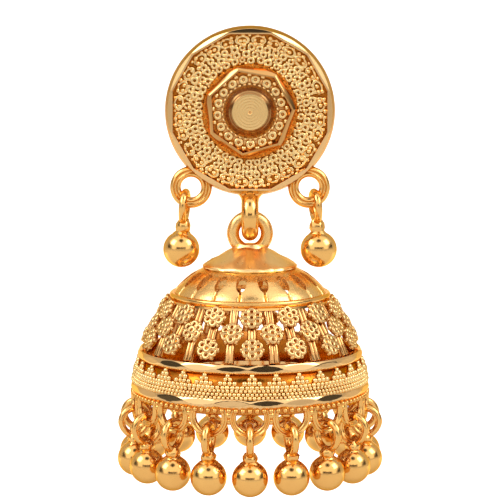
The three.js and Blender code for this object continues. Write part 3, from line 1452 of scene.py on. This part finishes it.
        # Solder joins each eyelet to the next one and to the hoop.
        piece.add(granule(0.36), [on_wall(a, self.eyelet_radius + 0.1, -26.2) for a in between])
        piece.add(granule(0.34), [on_wall(a, self.eyelet_radius, middle - 0.3) for a in between])
        row = self.hoop_beads
        beads = [on_wall(a, row.radius, row.height) for a in evenly(row.count, FRONT)]
        # The hoop's beads are a little darkened with painted shade.
        piece.add(granule(row.size), beads, hollow=0.2)
        self._finish(piece, [self.smith.buffed], "polished_gold", 60.0)


# ---------------------------------------------------------------- the studio


@dataclass(frozen=True)
class Softbox:
    """A square soft light.

    Attributes:
        name: its name.
        place: where it stands, in metres.
        glow: how bright its face is.
        size: the length of its side, in metres.
    """

    name: str
    place: tuple[float, float, float]
    glow: float
    size: float = 0.2

    def build(self, aim: Vector) -> None:
        """Hangs the light.

        Args:
            aim: the point that it faces.
        """
        light = bpy.data.lights.new(self.name, "AREA")
        light.shape = "SQUARE"
        light.size = self.size
        light.energy = self.glow * math.pi * self.size**2
        made = bpy.data.objects.new(self.name, light)
        made.location = self.place
        made.rotation_euler = (aim - made.location).to_track_quat("-Z", "Y").to_euler()
        bpy.context.scene.collection.objects.link(made)


@dataclass
class Studio:
    """A pale floor with a curved backdrop, soft lights and the camera. Its sizes are in metres."""

    low: Vector
    high: Vector
    elevation: float = 7.0  # degrees that the camera looks down by
    distance: float = 0.21
    margin: float = 1.12  # height of the view, in heights of the earring
    sensor: float = 36.0  # mm
    floor_gap: float = 0.012  # from the lowest bead down to the floor
    sweep_back: float = 0.5
    sweep_front: float = -4.0
    sweep_height: float = 0.9
    sweep_bend: float = 0.35
    softboxes: Sequence[Softbox] = (
        Softbox("left_softbox", (-0.3, -0.12, 0.27), 4.5),
        Softbox("right_softbox", (0.3, -0.12, 0.27), 4.1),
    )

    def build(self) -> None:
        """Makes the floor, the lights and the camera."""
        self._camera()
        self._floor()
        for softbox in self.softboxes:
            softbox.build(self.middle)
        self._room()

    @property
    def middle(self) -> Vector:
        """The middle of the earring as seen from the front, on the bell's axis."""
        return Vector((0.0, 0.0, (self.low.z + self.high.z) / 2))

    def _camera(self) -> None:
        """Sets up a long lens, a little above the earring."""
        lens = bpy.data.cameras.new("camera")
        camera = bpy.data.objects.new("camera", lens)
        bpy.context.scene.collection.objects.link(camera)
        tilt = math.radians(self.elevation)
        back = Vector((0.0, -math.cos(tilt), math.sin(tilt)))
        camera.location = self.middle + back * self.distance
        camera.rotation_euler = (-back).to_track_quat("-Z", "Y").to_euler()
        height = (self.high.z - self.low.z) * self.margin
        lens.sensor_width = self.sensor
        lens.lens = lens.sensor_width * self.distance / height
        lens.clip_start = 0.01
        bpy.context.scene.camera = camera

    def _floor(self) -> None:
        """Lays the floor, swept up behind the earring."""
        bm = bmesh.new()
        bmesh.ops.create_grid(bm, x_segments=1, y_segments=1, size=self.sweep_back)
        for vert in bm.verts:
            # It reaches far to the sides and to the front, so its edge stays near the horizon.
            vert.co.x *= 8
            vert.co.y = self.sweep_back if vert.co.y > 0 else self.sweep_front
        far = [e for e in bm.edges if all(v.co.y > 0 for v in e.verts)]
        made = bmesh.ops.extrude_edge_only(bm, edges=far)["geom"]
        risen = [v for v in made if isinstance(v, bmesh.types.BMVert)]
        bmesh.ops.translate(bm, vec=(0, 0, self.sweep_height), verts=risen)
        fold = [e for e in bm.edges if all(v.co.y > 0 and v.co.z < self.sweep_height / 2 for v in e.verts)]
        bmesh.ops.bevel(
            bm, geom=fold, offset=self.sweep_bend, segments=16, profile=0.5, affect="EDGES", material=-1
        )
        bmesh.ops.translate(bm, vec=(0, 0, self.low.z - self.floor_gap), verts=bm.verts)
        mesh = bpy.data.meshes.new("floor")
        bm.to_mesh(mesh)
        bm.free()
        mesh.shade_smooth()
        mesh.materials.append(self._paper())
        floor = bpy.data.objects.new("floor", mesh)
        bpy.context.scene.collection.objects.link(floor)
        floor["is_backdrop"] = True

    def _paper(self) -> bpy.types.Material:
        """Makes the sweep's paper, which glows, as painted light, where it stands behind the earring.

        Returns:
            A matt white that glows only in that patch.
        """
        paper = bpy.data.materials.new("white_paper_sweep")
        paper.use_nodes = True
        tree = paper.node_tree
        shader = tree.nodes["Principled BSDF"]
        shader.inputs["Base Color"].default_value = linear("#DEDCD8")
        shader.inputs["Roughness"].default_value = 0.9
        shader.inputs["Emission Color"].default_value = linear("#FFFFFF")
        place = add_node(tree, "ShaderNodeTexCoord").outputs["Object"]
        way = add_node(tree, "ShaderNodeSeparateXYZ", {}, {0: place}).outputs
        beside = add_node(tree, MATHS, {"operation": "ABSOLUTE"}, {0: way["X"]}).outputs[0]
        patch = (
            (beside, 0.085, 0.14, 0.75, 0.0),
            (way["Y"], 0.0, 0.04, 0.0, 1.0),
            (way["Z"], self.low.z + 0.05, self.low.z + 0.13, 1.0, 0.0),
        )
        tree.links.new(fades(tree, patch), shader.inputs["Emission Strength"])
        return paper

    def _room(self) -> None:
        """Makes the room: white walls with the dark openings that polished gold mirrors."""
        world = bpy.data.worlds.new("room")
        world.use_nodes = True
        tree = world.node_tree
        towards = add_node(tree, "ShaderNodeTexCoord").outputs["Generated"]
        way = add_node(tree, "ShaderNodeSeparateXYZ", {}, {0: towards}).outputs
        beside = add_node(tree, MATHS, {"operation": "ABSOLUTE"}, {0: way["X"]}).outputs[0]
        # A round dark skylight opens above the front wall.
        to_skylight = add_node(
            tree, "ShaderNodeVectorMath", {"operation": "DOT_PRODUCT"}, {0: towards, 1: (0.0, -0.48, 0.877)}
        ).outputs["Value"]
        # A wide dark window opens in the front wall and in the back wall, just above the horizon.
        higher = add_node(tree, MATHS, {"operation": "SUBTRACT"}, {0: way["Z"], 1: 0.21}).outputs[0]
        higher = add_node(tree, MATHS, {"operation": "ABSOLUTE"}, {0: higher}).outputs[0]
        higher = add_node(tree, MATHS, {"operation": "MULTIPLY"}, {0: higher, 1: 5.0}).outputs[0]
        off_window = add_node(tree, MATHS, {"operation": "MAXIMUM"}, {0: beside, 1: higher}).outputs[0]
        walls = fades(
            tree,
            (
                (beside, 0.8, 0.96, 1.37, 0.08),  # a dark gap at each side, beyond the softboxes
                (to_skylight, 0.96, 0.99, 1.0, 0.04),
                (off_window, 0.56, 0.42, 1.0, 0.04),
                (way["Y"], -0.1, 0.45, 1.0, 0.3),  # the room behind the earring is dimmer
            ),
        )
        # The horizon, and all below it, is an even white all round.
        above = fades(tree, ((way["Z"], 0.04, 0.14, 0.0, 1.0),))
        strength = add_node(
            tree, "ShaderNodeMix", {"data_type": "FLOAT"}, {"Factor": above, 2: 0.72, 3: walls}
        ).outputs[0]
        background = tree.nodes["Background"]
        tree.links.new(strength, background.inputs["Strength"])
        background.inputs["Color"].default_value = linear("#FFFFFF")
        bpy.context.scene.world = world
        bpy.context.scene.view_settings.view_transform = "Standard"


def main() -> None:
    """Builds the studio, and the earring round its frame."""
    logging.basicConfig(level=logging.INFO, format="%(message)s")
    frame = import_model()
    cad_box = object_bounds()
    smith = Goldsmith(
        CAST_GOLD.material(),
        GRANULATED_GOLD.material(),
        BUFFED_GOLD.material(),
        DIAMOND_CUT_GOLD.material(),
        TURNED_GOLD.material(),
        WORN_GOLD.material(),
        np.random.default_rng(CHANCE_SEED),
    )
    hang = Vector(frame["joints"][0]["pos_m"]) / MM
    bell_low, bell_high = (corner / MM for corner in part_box("bell"))
    Studio(*cad_box).build()
    Stud(smith, hang).build()
    Bell(smith, hang, bell_high.z, bell_low.z).build()
    # The side drops are turned a little on their eyes, and lean a little.
    for side, node in ((-1, "side_drop_left"), (1, "side_drop_right")):
        Drop(smith, node, "stud", SIDE_DROP, 90.0 + side * 8.0, 30 + side, -side * 4.6).build()
    for index in range(1, Bell.eyelets + 1):
        node = f"rim_drop_{index:02d}"
        Drop(smith, node, "bell", RIM_DROP, outward_angle(node, hang), index).build()


if __name__ == "__main__":
    main()
